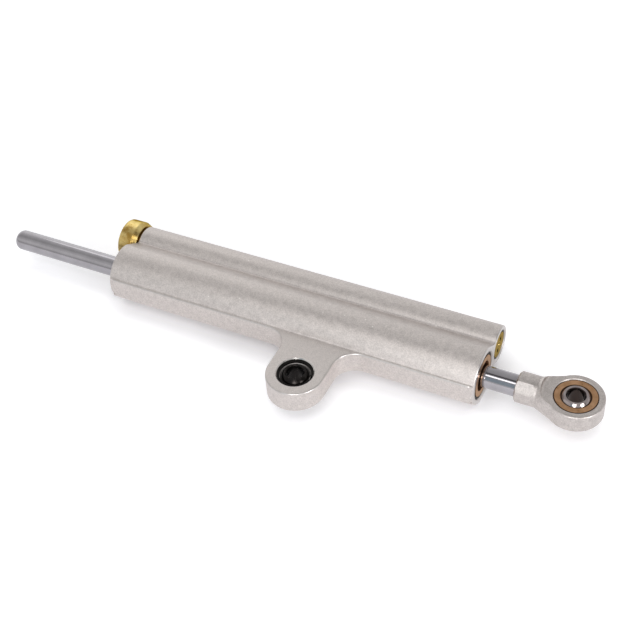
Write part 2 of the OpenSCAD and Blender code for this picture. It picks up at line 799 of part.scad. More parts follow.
module adjuster_knob() {
    knob_r = knob_d / 2;
    color(brass)
    difference() {
        turned(knob_front, side_y) {
            translate([knob_r - knob_rim, knob_rim])
                circle(r = knob_rim, $fn = 32);
            polygon([[0, 0], [knob_r - knob_rim, 0], [knob_r - knob_rim, knob_rim], [knob_r, knob_rim],
                [knob_r, knob_l - knob_taper_l], [knob_back_d / 2, knob_l], [0, knob_l]]);
        }
        bar_x(knob_front - over, side_y, knob_l + 2 * over, spindle_seat_d / 2 + seated);
        bar_x(knob_front - over, side_y, spindle_front - knob_front + over, screw_head_d / 2 + free_gap);
        bar_x(seat_x, side_y, knob_l, spindle_d / 2 + free_gap / 2);
        for (i = [0:clicks - 1])
            translate([click_x - click_travel, side_y, 0])
                rotate([360 * i / clicks, 0, 0])
                    translate([0, click_r, 0])
                        sphere(r = click_d / 2 + click_gap);
    }
}

// A socket screw clamps the knob against the spindle
module knob_screw() {
    color(steel)
    difference() {
        union() {
            bar_x(spindle_front - screw_head_h, side_y, screw_head_h, screw_head_d / 2);
            bar_x(spindle_front - over, side_y, screw_l + over - tip_gap, screw_d / 2);
        }
        translate([spindle_front - screw_head_h - over, side_y, 0])
            rotate([0, 90, 0])
                cylinder(h = socket_l + over, d = socket_w, $fn = 6);
    }
}

// The click ball springs out into the dimples in the knob's back
click_x = knob_back + click_gap + click_d / 2;

module click_ball() {
    color(chrome)
    translate([click_x, click_y, 0])
        sphere(d = click_d);
}

module click_spring() {
    spring_start = click_x + click_d / 2 + spring_gap;
    color(steel)
        coil_x(spring_start, click_y, adj_face + click_hole_l - spring_start - spring_gap,
            click_d / 2 - click_wire / 2 - spring_gap, click_wire, click_turns);
}

// An outer race, with its bore round the ball, about the Z axis
module race(w, r) {
    seat_r = ball_d / 2 + ball_gap;
    mouth_r = sqrt(pow(seat_r, 2) - pow(w / 2, 2));
    difference() {
        cylinder(h = w, r = r, center = true);
        sphere(r = seat_r);
        for (turn = [0, 180])
            rotate([turn, 0, 0])
                translate([0, 0, w / 2 - race_chamfer])
                    cylinder(h = race_chamfer, r1 = mouth_r, r2 = mouth_r + race_chamfer);
    }
}

// A ball with a bolt hole and flat ends that are w apart
module ball(w) {
    difference() {
        intersection() {
            sphere(d = ball_d);
            cylinder(h = w, d = ball_d, center = true);
        }
        cylinder(h = w + 2 * over, d = bolt_d, center = true);
        for (turn = [0, 180])
            rotate([turn, 0, 0])
                translate([0, 0, w / 2 - bolt_chamfer])
                    cylinder(h = bolt_chamfer, d1 = bolt_d, d2 = bolt_d + 2 * bolt_chamfer);
    }
}

module frame_race() {
    color(black)
        race(frame_race_w, race_r);
}

module frame_race_ring() {
    color(black)
    difference() {
        translate([0, 0, race_ring_z + seated])
            cylinder(h = race_ring_t, r = race_ring_r - seated);
        cylinder(h = lug_t, r = race_ring_r - race_ring_w);
        translate([0, -race_ring_gap / 2, 0])
            cube([lug_r, race_ring_gap, lug_t]);
    }
}

module frame_ball() {
    color(steel)
        ball(lug_t + 2 * ball_proud);
}

// The rod runs through both heads, with a stud in the rod end and grooves for the piston
rod_front = body_front + neck_gap;

module damper_rod() {
    tip_r = rod_r - tip_round;
    color(chrome)
    difference() {
        union() {
            turned(-body_rear - tail_l, rod_y) {
                intersection() {
                    translate([tip_r, tip_round])
                        circle(r = tip_round);
                    square([rod_r, tip_round]);
                }
                polygon([[0, 0], [tip_r, 0], [tip_r, tip_round], [rod_r, tip_round],
                    [rod_r, body_rear + tail_l + rod_front], [0, body_rear + tail_l + rod_front]]);
            }
            bar_x(rod_front - over, rod_y, stud_l + over, stud_d / 2);
        }
        for (x = [piston_x - groove_l, piston_x + piston_l])
            difference() {
                bar_x(x, rod_y, groove_l, rod_d);
                bar_x(x - over, rod_y, groove_l + 2 * over, rod_r - clip_groove);
            }
    }
}

module piston() {
    color(alloy)
    difference() {
        bar_x(piston_x, rod_y, piston_l, bore_r - 3 * running);
        bar_x(piston_x - over, rod_y, piston_l + 2 * over, rod_r + running);
        difference() {
            bar_x(piston_x + (piston_l - band_w) / 2, rod_y, band_w, bore_r + over);
            bar_x(piston_x, rod_y, piston_l, bore_r - band_t);
        }
        bar_x(piston_x + (piston_l - piston_oring_t - free_gap) / 2, rod_y, piston_oring_t + free_gap,
            rod_r + piston_oring_t);
    }
}

module piston_band() {
    color(black)
        ring_x(piston_x + (piston_l - band_w) / 2 + seated, rod_y, band_w - 2 * seated,
            bore_r - running, bore_r - band_t + seated);
}

module piston_oring() {
    color(black)
        oring_x(piston_x + piston_l / 2, rod_y, rod_r + piston_oring_t, rod_r);
}

module piston_clips() {
    color(steel)
        for (x = [piston_x - groove_l + seated, piston_x + piston_l + seated])
            snap_ring_x(x, rod_y, clip_t, rod_r + clip_h, rod_r - clip_groove + seated, clip_gap);
}

rod_eye_x = rod_front + rod_end_l;

// The rod end's turned neck, which tapers from the eye's rim down to the collar
module rod_end_neck() {
    neck_x = rod_end_l - neck_start;
    reach = norm([neck_x, collar_d / 2]);
    slope = asin(rod_eye_r / reach) - atan2(collar_d / 2, neck_x);
    taper_l = sqrt(pow(reach, 2) - pow(rod_eye_r, 2));
    turned(rod_front + neck_start, rod_y)
        polygon([[0, 0], [collar_d / 2, 0],
            [collar_d / 2 + taper_l * sin(slope), taper_l * cos(slope)], [0, neck_x]]);
}

// A round disc about the Z axis with rounded rims
module eye_disc(r, t, round) {
    rotate_extrude() {
        translate([0, -t / 2])
            square([r - round, t]);
        translate([0, -t / 2 + round])
            square([r, t - 2 * round]);
        for (side = [-1, 1])
            translate([r - round, side * (t / 2 - round)])
                circle(r = round, $fn = 32);
    }
}

// What a spot face takes off above a face at height z, with a rounded foot
module spot_face(z, r, round) {
    translate([0, 0, z])
        rotate_extrude() {
            square([r - round, collar_d]);
            translate([0, round])
                square([r, collar_d]);
            translate([r - round, round])
                circle(r = round, $fn = 32);
        }
}

module wrench_flat(turn) {
    round_r = collar_d / 4;
    translate([rod_front, rod_y, 0])
        rotate([turn, 0, 0])
            translate([0, 0, wrench_w / 2]) {
                translate([-over, -collar_d / 2, 0])
                    cube([wrench_l + over - round_r, collar_d, collar_d]);
                translate([wrench_l - round_r, 0, 0])
                    cylinder(h = collar_d, r = round_r);
            }
}

module rod_end() {
    half_t = rod_eye_t / 2;
    collar_r = collar_d / 2;
    bore = rod_race_d / 2 + running;
    color(silver)
    difference() {
        union() {
            turned(rod_front, rod_y)
                polygon([[0, 0], [collar_r - collar_chamfer, 0], [collar_r, collar_chamfer],
                    [collar_r, rod_end_l], [0, rod_end_l]]);
            rod_end_neck();
            translate([rod_eye_x, rod_y, 0])
                eye_disc(rod_eye_r, rod_eye_t, rod_eye_round);
        }
        translate([rod_eye_x, rod_y, 0]) {
            for (turn = [0, 180])
                rotate([turn, 0, 0]) {
                    spot_face(half_t, spot_r, spot_round);
                    translate([0, 0, half_t - eye_chamfer])
                        cylinder(h = eye_chamfer, r1 = bore, r2 = bore + eye_chamfer);
                }
            cylinder(h = 2 * rod_eye_t, r = bore, center = true);
        }
        bar_x(rod_front - over, rod_y, stud_l + over + stud_room, stud_d / 2 + seated);
        wrench_flat(90 - wrench_angle);
        wrench_flat(270 - wrench_angle);
    }
}

module rod_end_race() {
    color(bronze)
    translate([rod_eye_x, rod_y, 0])
        race(rod_eye_t - 2 * rod_race_depth, rod_race_d / 2);
}

module rod_end_ball() {
    color(chrome)
    translate([rod_eye_x, rod_y, 0])
        ball(rod_eye_t + 2 * rod_ball_proud);
}

cylinder_body();
front_head();
rear_head();
front_retaining_ring();
rear_retaining_ring();
front_guide_bush();
rear_guide_bush();
front_rod_seal();
rear_rod_seal();
front_scraper();
rear_scraper();
front_head_oring();
rear_head_oring();
reservoir_plug();
plug_oring();
plug_retaining_ring();
compensator_piston();
compensator_oring();
compensator_spring();
adjuster_body();
adjuster_rear_oring();
adjuster_front_oring();
needle_jet();
adjuster_knob();
knob_screw();
adjuster_spindle();
spindle_oring();
metering_needle();
click_ball();
click_spring();
frame_race();
frame_race_ring();
frame_ball();
damper_rod();
piston();
piston_band();
piston_oring();
piston_clips();
rod_end();
rod_end_race();
rod_end_ball();
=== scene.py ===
import json
import math

import bpy
from mathutils import Matrix, Vector


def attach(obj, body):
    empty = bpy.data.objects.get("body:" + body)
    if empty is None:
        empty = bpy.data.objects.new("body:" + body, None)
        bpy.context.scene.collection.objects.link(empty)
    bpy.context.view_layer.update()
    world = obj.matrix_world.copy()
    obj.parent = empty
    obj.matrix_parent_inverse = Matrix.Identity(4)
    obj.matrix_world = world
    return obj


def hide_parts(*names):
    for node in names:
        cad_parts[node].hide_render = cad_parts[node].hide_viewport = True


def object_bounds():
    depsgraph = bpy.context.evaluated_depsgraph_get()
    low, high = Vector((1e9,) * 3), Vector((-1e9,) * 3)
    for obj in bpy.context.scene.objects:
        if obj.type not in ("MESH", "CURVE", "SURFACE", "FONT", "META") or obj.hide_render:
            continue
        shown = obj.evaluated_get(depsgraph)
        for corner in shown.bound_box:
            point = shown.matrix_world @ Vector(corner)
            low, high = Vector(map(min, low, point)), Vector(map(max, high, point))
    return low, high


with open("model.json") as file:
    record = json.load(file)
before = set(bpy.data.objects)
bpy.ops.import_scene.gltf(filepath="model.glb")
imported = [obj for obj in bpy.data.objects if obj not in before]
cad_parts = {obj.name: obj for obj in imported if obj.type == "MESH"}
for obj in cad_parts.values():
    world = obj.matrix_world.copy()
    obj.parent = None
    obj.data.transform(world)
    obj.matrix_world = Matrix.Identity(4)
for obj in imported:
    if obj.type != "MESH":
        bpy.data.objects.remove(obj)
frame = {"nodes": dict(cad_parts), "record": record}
nodes = frame["nodes"]
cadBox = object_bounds()  # the solids' own box, before anything is added
mm = 0.001
print("frame loaded:", len(nodes), "parts")


# colours are sRGB hex, as an eyedropper gives them
def linearColour(hexColour):
    values = [int(hexColour[i:i + 2], 16) / 255 for i in (1, 3, 5)]
    return [v / 12.92 if v <= 0.04045 else ((v + 0.055) / 1.055) ** 2.4 for v in values] + [1.0]


# adds one node, sets its sockets or properties, and links sockets to it
def addNode(tree, kind, settings=None, links=None):
    node = tree.nodes.new(kind)
    for name, value in (settings or {}).items():
        if isinstance(name, int) or name in node.inputs:
            node.inputs[name].default_value = value
        else:
            setattr(node, name, value)
    for name, source in (links or {}).items():
        tree.links.new(source, node.inputs[name])
    return node


def newMaterial(name):
    material = bpy.data.materials.new(name)
    material.use_nodes = True
    material.node_tree.nodes.clear()
    return material, material.node_tree


def finishMaterial(material, tree, shader):
    addNode(tree, "ShaderNodeOutputMaterial", links={"Surface": shader.outputs[0]})
    return material


# the four axes that things are turned or drilled about: a point on each, and which ways lie across it
axes = {
    "rod": ((0, 34 * mm, 0), (0, 1, 1)), "side": ((0, 54.5 * mm, 0), (0, 1, 1)),
    "lugEye": ((0, 0, 0), (1, 1, 0)), "rodEye": ((116 * mm, 34 * mm, 0), (1, 1, 0)),
}
noiseSpan = (0.3, 0.7)  # a noise pattern's values lie between these almost everywhere


# how far each point is from an axis
def distanceFrom(tree, place, axis):
    centre, across = axes[axis]
    offset = addNode(tree, "ShaderNodeVectorMath", {"operation": "SUBTRACT", 1: centre},
                     {0: place.outputs["Object"]})
    flat = addNode(tree, "ShaderNodeVectorMath", {"operation": "MULTIPLY", 1: across}, {0: offset.outputs[0]})
    length = addNode(tree, "ShaderNodeVectorMath", {"operation": "LENGTH"}, {0: flat.outputs[0]})
    return length.outputs["Value"]


# a mask that is 1 where a value is above or below a limit, with a narrow soft step
def maskWhere(tree, value, side, limit, soft=0.08 * mm):
    low, high = {"above": (0, 1), "below": (1, 0)}[side]
    step = {"From Min": limit - soft, "From Max": limit + soft, "To Min": low, "To Max": high}
    return addNode(tree, "ShaderNodeMapRange", step, {"Value": value}).outputs["Result"]


# dark and light tones from a noise pattern
def toned(tree, pattern, look, low=0.36, high=0.64):
    colour = addNode(tree, "ShaderNodeValToRGB", links={"Fac": pattern})
    for element, position, tone in zip(colour.color_ramp.elements, (low, high), ("dark", "light")):
        element.position, element.color = position, linearColour(look[tone])
    return colour.outputs["Color"]


# lays another tone over a colour where a mask is 1
def laidOver(tree, colour, tone, mask):
    mix = addNode(tree, "ShaderNodeMixRGB", {"Color2": linearColour(tone)}, {"Color1": colour, "Fac": mask})
    return mix.outputs["Color"]


# roughness from a noise pattern, so that a surface is a little glossier here and there
def roughnessFrom(tree, pattern, look):
    span = {"From Min": noiseSpan[0], "From Max": noiseSpan[1],
            "To Min": look["roughness"][0], "To Max": look["roughness"][1]}
    return addNode(tree, "ShaderNodeMapRange", span, {"Value": pattern}).outputs["Result"]


# bead-blasted aluminium: thousands of tiny dents give it an even, dull sheen, and a pale tone is painted on a
# few of them as glints;
# bores and end rims are machined after blasting, and hands rub the upper edges, which leaves them brighter
blasted = {
    "light": "#dfd8d4", "dark": "#c3bcb8", "paintedGlint": "#f2eeea", "bare": "#cbc7c4",
    "grit": 0.55 * mm,  # real grit is about 0.1 mm; drawn coarser so that it shows at this size
    "cloud": 2.6 * mm, "cloudShare": 0.4,
    # the facets below get a painted glint, a pale tone rather than real light
    "facet": 0.9 * mm, "facetSize": 0.3, "paintedGlintThreshold": 0.955,  # about one facet in 700 catches the light
    "roughness": (0.44, 0.58), "bareRoughness": 0.22,
    "dent": 0.03 * mm, "dentStrength": (0.5, 0.05),  # blasted, machined
    "machined": [("lugEye", 8.75 * mm)], "ends": (-109.95 * mm, 74.45 * mm),
    "worn": {"heights": (4.85 * mm, 5.45 * mm), "before": 22 * mm}, "rubbed": 0.65,
}


def blastedAluminium(name, look):
    material, tree = newMaterial(name)
    place = addNode(tree, "ShaderNodeTexCoord")
    grit = addNode(tree, "ShaderNodeTexNoise", {"Scale": 1 / look["grit"], "Detail": 2.0, "Roughness": 0.6},
                   {"Vector": place.outputs["Object"]})
    cloud = addNode(tree, "ShaderNodeTexNoise",
                    {"Scale": 1 / look["cloud"], "Detail": 3.0, "Roughness": 0.65},
                    {"Vector": place.outputs["Object"]})
    mixed = addNode(tree, "ShaderNodeMix", {0: look["cloudShare"]},
                    {2: grit.outputs["Fac"], 3: cloud.outputs["Fac"]})
    colour = toned(tree, mixed.outputs[0], look)

    # painted highlights: a pale tone on the few small facets that stand for dents catching the light
    facets = addNode(tree, "ShaderNodeTexVoronoi", {"Scale": 1 / look["facet"]},
                     {"Vector": place.outputs["Object"]})
    lucky = addNode(tree, "ShaderNodeMath", {"operation": "GREATER_THAN", 1: look["paintedGlintThreshold"]},
                    {0: facets.outputs["Color"]})
    small = addNode(tree, "ShaderNodeMath", {"operation": "LESS_THAN", 1: look["facetSize"]},
                    {0: facets.outputs["Distance"]})
    paintedGlint = addNode(tree, "ShaderNodeMath", {"operation": "MULTIPLY"},
                    {0: lucky.outputs[0], 1: small.outputs[0]})
    colour = laidOver(tree, colour, look["paintedGlint"], paintedGlint.outputs[0])

    # the machined places, the rims and the worn upper edges, all in one mask
    at = addNode(tree, "ShaderNodeSeparateXYZ", links={0: place.outputs["Object"]}).outputs
    rear, front = look["ends"]
    rims = addNode(tree, "ShaderNodeMath", {"operation": "MAXIMUM"},
                   {0: maskWhere(tree, at["X"], "above", front), 1: maskWhere(tree, at["X"], "below", rear)})
    rubbed = [rims.outputs[0]]
    if look["worn"]:
        low, high = look["worn"]["heights"]
        over, under = maskWhere(tree, at["Z"], "above", low), maskWhere(tree, at["Z"], "below", high)
        outer = maskWhere(tree, at["Y"], "below", look["worn"]["before"])
        band = addNode(tree, "ShaderNodeMath", {"operation": "MULTIPLY"}, {0: over, 1: under})
        edge = addNode(tree, "ShaderNodeMath", {"operation": "MULTIPLY"}, {0: band.outputs[0], 1: outer})
        rubbed.append(edge.outputs[0])
    masks = [maskWhere(tree, distanceFrom(tree, place, axis), "below", radius)
             for axis, radius in look["machined"]]
    for mask in rubbed:
        partly = addNode(tree, "ShaderNodeMath", {"operation": "MULTIPLY", 1: look["rubbed"]}, {0: mask})
        masks.append(partly.outputs[0])
    machined = masks[0]
    for mask in masks[1:]:
        larger = addNode(tree, "ShaderNodeMath", {"operation": "MAXIMUM"}, {0: machined, 1: mask})
        machined = larger.outputs[0]

    colour = laidOver(tree, colour, look["bare"], machined)
    gloss = addNode(tree, "ShaderNodeMix", {3: look["bareRoughness"]},
                    {0: machined, 2: roughnessFrom(tree, cloud.outputs["Fac"], look)})
    depth = addNode(tree, "ShaderNodeMapRange",
                    {"To Min": look["dentStrength"][0], "To Max": look["dentStrength"][1]},
                    {"Value": machined})
    dents = addNode(tree, "ShaderNodeBump", {"Distance": look["dent"]},
                    {"Height": grit.outputs["Fac"], "Strength": depth.outputs["Result"]})
    shader = addNode(tree, "ShaderNodeBsdfPrincipled", {"Metallic": 1.0},
                     {"Base Color": colour, "Roughness": gloss.outputs[0], "Normal": dents.outputs["Normal"]})
    return finishMaterial(material, tree, shader)


# turned or ground metal: the tool leaves fine rings about the axis, on round and flat faces alike;
# its real feed is near 0.1 mm a turn, drawn two or three times coarser where it has to show;
# zones are places nearer or farther than some distance from the axis, with a tone laid over them: the part's
# own tone on some parts, painted shade on others
def turnedMetal(name, look):
    material, tree = newMaterial(name)
    place = addNode(tree, "ShaderNodeTexCoord")
    around = distanceFrom(tree, place, look["axis"])
    along = addNode(tree, "ShaderNodeVectorMath",
                    {"operation": "DOT_PRODUCT", 1: [1 - c for c in axes[look["axis"]][1]]},
                    {0: place.outputs["Object"]})
    lathe = addNode(tree, "ShaderNodeCombineXYZ", links={"X": along.outputs["Value"], "Y": around})
    rings = addNode(tree, "ShaderNodeTexNoise",
                    {"noise_dimensions": "2D", "Scale": 1 / look["feed"], "Detail": 2.0, "Roughness": 0.5},
                    {"Vector": lathe.outputs[0]})
    film = addNode(tree, "ShaderNodeTexNoise", {"Scale": 1 / look["film"], "Detail": 4.0, "Roughness": 0.6},
                   {"Vector": place.outputs["Object"]})
    colour = toned(tree, film.outputs["Fac"], look)
    for side, radius, tone in look.get("zones", []):
        colour = laidOver(tree, colour, tone, maskWhere(tree, around, side, radius))
    marks = addNode(tree, "ShaderNodeBump", {"Strength": 0.4, "Distance": look["mark"]},
                    {"Height": rings.outputs["Fac"]})
    # the edge tone is what a coloured metal keeps at a low angle
    shader = addNode(tree, "ShaderNodeBsdfPrincipled",
                     {"Metallic": 1.0, "Specular Tint": linearColour(look.get("edge", "#ffffff"))},
                     {"Base Color": colour, "Roughness": roughnessFrom(tree, film.outputs["Fac"], look),
                      "Normal": marks.outputs["Normal"]})
    return finishMaterial(material, tree, shader)


# moulded rubber and plastic: dull, with a faint bloom and a skin that isn't quite even
def mouldedRubber(name, look):
    material, tree = newMaterial(name)
    place = addNode(tree, "ShaderNodeTexCoord")
    bloom = addNode(tree, "ShaderNodeTexNoise", {"Scale": 1 / look["bloom"], "Detail": 4.0},
                    {"Vector": place.outputs["Object"]})
    skin = addNode(tree, "ShaderNodeBump", {"Strength": 0.3, "Distance": 0.02 * mm},
                   {"Height": bloom.outputs["Fac"]})
    shader = addNode(tree, "ShaderNodeBsdfPrincipled", {"Roughness": 0.5, "IOR": 1.5},
                     {"Base Color": toned(tree, bloom.outputs["Fac"], look, 0, 1),
                      "Normal": skin.outputs["Normal"]})
    return finishMaterial(material, tree, shader)


finishes = {
    "cylinder_body": blastedAluminium("blastedAluminiumBody", blasted),
    # the same blasting, a shade darker and glossier on the rod end, with its eye machined
    "rod_end_alloy": blastedAluminium("blastedAluminiumRodEnd", dict(
        blasted, light="#d5ceca", dark="#b6afab", roughness=(0.36, 0.48), bare="#a8a2a0",
        machined=[("rodEye", 9.7 * mm)], ends=(-1, 1), worn=None)),
    # hard chrome on steel, ground: nearly a mirror, so it shows the room in long stripes
    "rod_chrome": turnedMetal("groundChrome", {
        "axis": "rod", "light": "#afacb0", "dark": "#a5a2a6", "feed": 0.2 * mm, "film": 6 * mm,
        "roughness": (0.06, 0.12), "mark": 0.002 * mm}),
    # polished bearing steel with sharp highlights; inside the bolt hole a dark tone is painted as shade
    "ball_chrome": turnedMetal("polishedBallSteel", {
        "axis": "rodEye", "light": "#b3a9a7", "dark": "#9c9291", "feed": 0.3 * mm, "film": 3 * mm,
        "roughness": (0.08, 0.14), "mark": 0.001 * mm, "zones": [("below", 4.35 * mm, "#3b3330")]}),
    # bare brass, fine turned: yellow with a broad soft shine, browner where fingers leave a film
    "knob_brass": turnedMetal("turnedBrassKnob", {
        "axis": "side", "light": "#f2dc98", "dark": "#b08c44", "edge": "#a4956c",
        "feed": 0.3 * mm, "film": 7 * mm, "roughness": (0.24, 0.32), "mark": 0.012 * mm}),
    # brass faced with a coarser feed: a darker olive copy of the knob's brass, painted shade for the shaded
    # paper it mirrors, with rings that glitter
    "plug_brass": turnedMetal("shadeDarkenedBrassPlug", {
        "axis": "side", "light": "#bfa76a", "dark": "#74633e", "edge": "#d4c49e",
        "feed": 0.35 * mm, "film": 2.5 * mm, "roughness": (0.16, 0.26), "mark": 0.03 * mm}),
    # brass that oil has kept clean: bright yellow
    "inner_brass": turnedMetal("turnedBrassInside", {
        "axis": "side", "light": "#d8b060", "dark": "#b08a3e", "feed": 0.15 * mm, "film": 2 * mm,
        "roughness": (0.22, 0.34), "mark": 0.01 * mm}),
    # turned bronze: a pinkish satin brown
    "head_bronze": turnedMetal("turnedBronzeHead", {
        "axis": "rod", "light": "#c4a183", "dark": "#a48365", "edge": "#f2e4d6",
        "feed": 0.3 * mm, "film": 2 * mm, "roughness": (0.26, 0.38), "mark": 0.015 * mm}),
    # sintered bronze soaked in oil: open grain, dull
    "bush_bronze": turnedMetal("sinteredBronzeBush", {
        "axis": "rod", "light": "#a9835a", "dark": "#8a6641", "feed": 0.2 * mm, "film": 1 * mm,
        "roughness": (0.4, 0.55), "mark": 0.02 * mm}),
    # bronze race with a satin face; its two chamfers are painted darker, as painted shade
    "race_bronze": turnedMetal("satinBronzeRace", {
        "axis": "rodEye", "light": "#c09876", "dark": "#a67f5c", "feed": 0.3 * mm, "film": 3 * mm,
        "roughness": (0.26, 0.36), "mark": 0.012 * mm,
        "zones": [("above", 9.2 * mm, "#4a382b"), ("below", 6.75 * mm, "#54402f")]}),
    # phosphated steel: nearly black, with a chamfer ground bright round the ball
    "bearing_steel_dark": turnedMetal("phosphatedRaceSteel", {
        "axis": "lugEye", "light": "#1f1d1c", "dark": "#161514", "feed": 0.3 * mm, "film": 2 * mm,
        "roughness": (0.26, 0.38), "mark": 0.01 * mm, "zones": [("below", 6.95 * mm, "#c9c3c0")]}),
    # steel blackened in hot salts: black, but it keeps its polish
    "ball_steel_dark": turnedMetal("blackenedBallSteel", {
        "axis": "lugEye", "light": "#2e2b2a", "dark": "#201e1d", "feed": 0.3 * mm, "film": 2 * mm,
        "roughness": (0.2, 0.3), "mark": 0.005 * mm}),
    # phosphated spring steel: a dull black
    "ring_black": turnedMetal("phosphatedSpringSteel", {
        "axis": "rod", "light": "#262423", "dark": "#171615", "feed": 0.4 * mm, "film": 1 * mm,
        "roughness": (0.35, 0.5), "mark": 0.005 * mm}),
    # turned aluminium: a clean pale grey
    "inner_alloy": turnedMetal("turnedAluminiumInside", {
        "axis": "rod", "light": "#cfd0d1", "dark": "#b9babb", "feed": 0.15 * mm, "film": 3 * mm,
        "roughness": (0.22, 0.34), "mark": 0.01 * mm}),
    # brass in the narrow gap by the knob: dull, and darkened to brown as painted shade for the gap
    "adjuster_brass": turnedMetal("shadeDarkenedBrassAdjuster", {
        "axis": "side", "light": "#8a6a38", "dark": "#6b5028", "feed": 0.15 * mm, "film": 3 * mm,
        "roughness": (0.35, 0.5), "mark": 0.005 * mm}),
    # turned steel: a cool mid grey
    "inner_steel": turnedMetal("turnedSteelInside", {
        "axis": "side", "light": "#b4b4b6", "dark": "#9a9a9c", "feed": 0.15 * mm, "film": 3 * mm,
        "roughness": (0.22, 0.34), "mark": 0.01 * mm}),
    # a bright screw as it comes from the rolling die
    "screw_steel": turnedMetal("brightScrewSteel", {
        "axis": "side", "light": "#b0b0b2", "dark": "#98989a", "feed": 0.3 * mm, "film": 2 * mm,
        "roughness": (0.2, 0.32), "mark": 0.005 * mm}),
    # wire drawn through a die and coiled: grey, with a soft shine
    "spring_steel": turnedMetal("drawnSpringWire", {
        "axis": "side", "light": "#a2a2a4", "dark": "#858587", "feed": 0.3 * mm, "film": 1 * mm,
        "roughness": (0.25, 0.4), "mark": 0.005 * mm}),
    # PTFE filled with bronze powder: waxy and grey-brown
    "band_ptfe": mouldedRubber("filledPtfeBand", {"light": "#54504b", "dark": "#45413d", "bloom": 0.8 * mm}),
    # fluorocarbon rubber: dark brown
    "seal_rubber": mouldedRubber("fluorocarbonSeal", {
        "light": "#5c3a2a", "dark": "#462a1e", "bloom": 0.6 * mm}),
    # nitrile rubber: black
    "oring_rubber": mouldedRubber("nitrileOring", {"light": "#262525", "dark": "#1c1b1b", "bloom": 0.5 * mm}),
}
for part in frame["record"]["subparts"]:
    shape = nodes[part["node"]]
    shape.data.materials.clear()
    shape.data.materials.append(finishes[part["material_slot"]])
print("finishes made:", len(finishes))


# the body's section and lug follow the solid, in millimetres; what is added are its broken edges
body = {
    "rear": -110.5, "front": 75,
    "rodY": 34, "tubeR": 13.48, "sideY": 54.5, "sideR": 8.98,
    "valleyMain": 68.5, "valleySide": 135,  # where the flat between the tubes leaves each of them, in degrees
    "lugT": 11, "lugR": 13.28, "lugFillet": 10, "plateDepth": 4, "plateInset": 0.02,
    "endRim": 0.6, "lugRim": 0.7, "cornerR": 3, "valleyR": 1.6,
    "rootR": 1.2, "rootInset": 0.7, "rootRim": 0.05,
    "boreR": 11, "pocketR": 7, "plugPocket": 10, "adjusterPocket": 14, "galleryR": 6, "mouth": 0.5,
    "ringR": 11.8, "ringAt": 0.87, "ringT": 1.26,
    "plugRingR": 7.45, "plugRingAt": 0.77, "plugRingT": 1.06,
    "throatR": 7.6, "seatR": 8.22, "seatHalf": 4.03, "eyeRingR": 8.65, "eyeRingTop": 4.74, "eyeBevel": 0.45,
    "sharpFrom": 32,  # degrees; flatter edges are shaded smooth
}
overlap = 1  # how far one solid runs into the next, or a cutter out of the surface


def arc(centre, radius, start, end, steps):
    turns = [math.radians(start + (end - start) * i / steps) for i in range(steps + 1)]
    return [(centre[0] + radius * math.cos(a), centre[1] + radius * math.sin(a)) for a in turns]


# leaves out points that nearly coincide
def cleaned(outline, shortest=0.06):
    kept = []
    for p in outline:
        if not kept or math.dist(p, kept[-1]) > shortest:
            kept.append(p)
    if math.dist(kept[0], kept[-1]) < shortest:
        kept.pop()
    return kept


# moves a counter-clockwise outline inwards
def drawnIn(outline, inset):
    count = len(outline)
    moved = []
    for i, p in enumerate(outline):
        a, b = Vector(outline[i - 1]), Vector(outline[(i + 1) % count])
        before, after = (Vector(p) - a).normalized(), (b - Vector(p)).normalized()
        inward = Vector((-before.y - after.y, before.x + after.x)).normalized()
        cosine = max(0.5, inward.dot(Vector((-before.y, before.x))))
        moved.append(tuple(Vector(p) + inward * inset / cosine))
    return moved


def newShape(name, points, faces):
    mesh = bpy.data.meshes.new(name)
    mesh.from_pydata(points, [], faces)
    mesh.update()
    shape = bpy.data.objects.new(name, mesh)
    bpy.context.scene.collection.objects.link(shape)
    return shape


# a prism whose rims at both ends are rounded; place turns (u, v, w) into a point
def roundedPrism(name, outline, low, high, rim, place, steps=5):
    outline = cleaned(outline)
    quarter = [math.radians(90 * i / steps) for i in range(steps + 1)]
    rings = [(drawnIn(outline, rim * (1 - math.sin(a))), low + rim * (1 - math.cos(a))) for a in quarter]
    rings += [(drawnIn(outline, rim * (1 - math.cos(a))), high - rim * (1 - math.sin(a))) for a in quarter]
    count = len(outline)
    points = [place(u * mm, v * mm, w * mm) for ring, w in rings for u, v in ring]
    faces = [tuple(reversed(range(count))), tuple(range(len(points) - count, len(points)))]
    for r in range(len(rings) - 1):
        for i in range(count):
            j = (i + 1) % count
            faces.append((r * count + i, r * count + j, (r + 1) * count + j, (r + 1) * count + i))
    return newShape(name, points, faces)


# a closed solid of revolution from (radius, distance) points
def spun(name, profile, place, sides=96):
    points, faces = [place(0, 0, profile[0][1] * mm), place(0, 0, profile[-1][1] * mm)], []
    for radius, along in profile:
        for i in range(sides):
            a = 2 * math.pi * i / sides
            points.append(place(radius * math.cos(a) * mm, radius * math.sin(a) * mm, along * mm))
    last = 2 + (len(profile) - 1) * sides
    for i in range(sides):
        j = (i + 1) % sides
        faces.append((0, 2 + j, 2 + i))
        faces.append((1, last + i, last + j))
        for r in range(len(profile) - 1):
            k = 2 + r * sides
            faces.append((k + i, k + j, k + sides + j, k + sides + i))
    return newShape(name, points, faces)


# joins or cuts with other solids, which are used up
def combined(shape, others, operation):
    for other in others:
        step = shape.modifiers.new(operation.lower(), "BOOLEAN")
        step.operation, step.object, step.solver = operation, other, "EXACT"
    bpy.context.view_layer.update()
    result = bpy.data.meshes.new_from_object(shape.evaluated_get(bpy.context.evaluated_depsgraph_get()))
    shape.modifiers.clear()
    shape.data = result
    for other in others:
        bpy.data.objects.remove(other)
    return shape


def smoothed(shape, angle):
    shape.data.shade_smooth()
    shape.data.set_sharp_from_angle(angle=math.radians(angle))
    even = shape.modifiers.new("evenShading", "WEIGHTED_NORMAL")
    even.keep_sharp = True
    even.weight = 100
    return shape


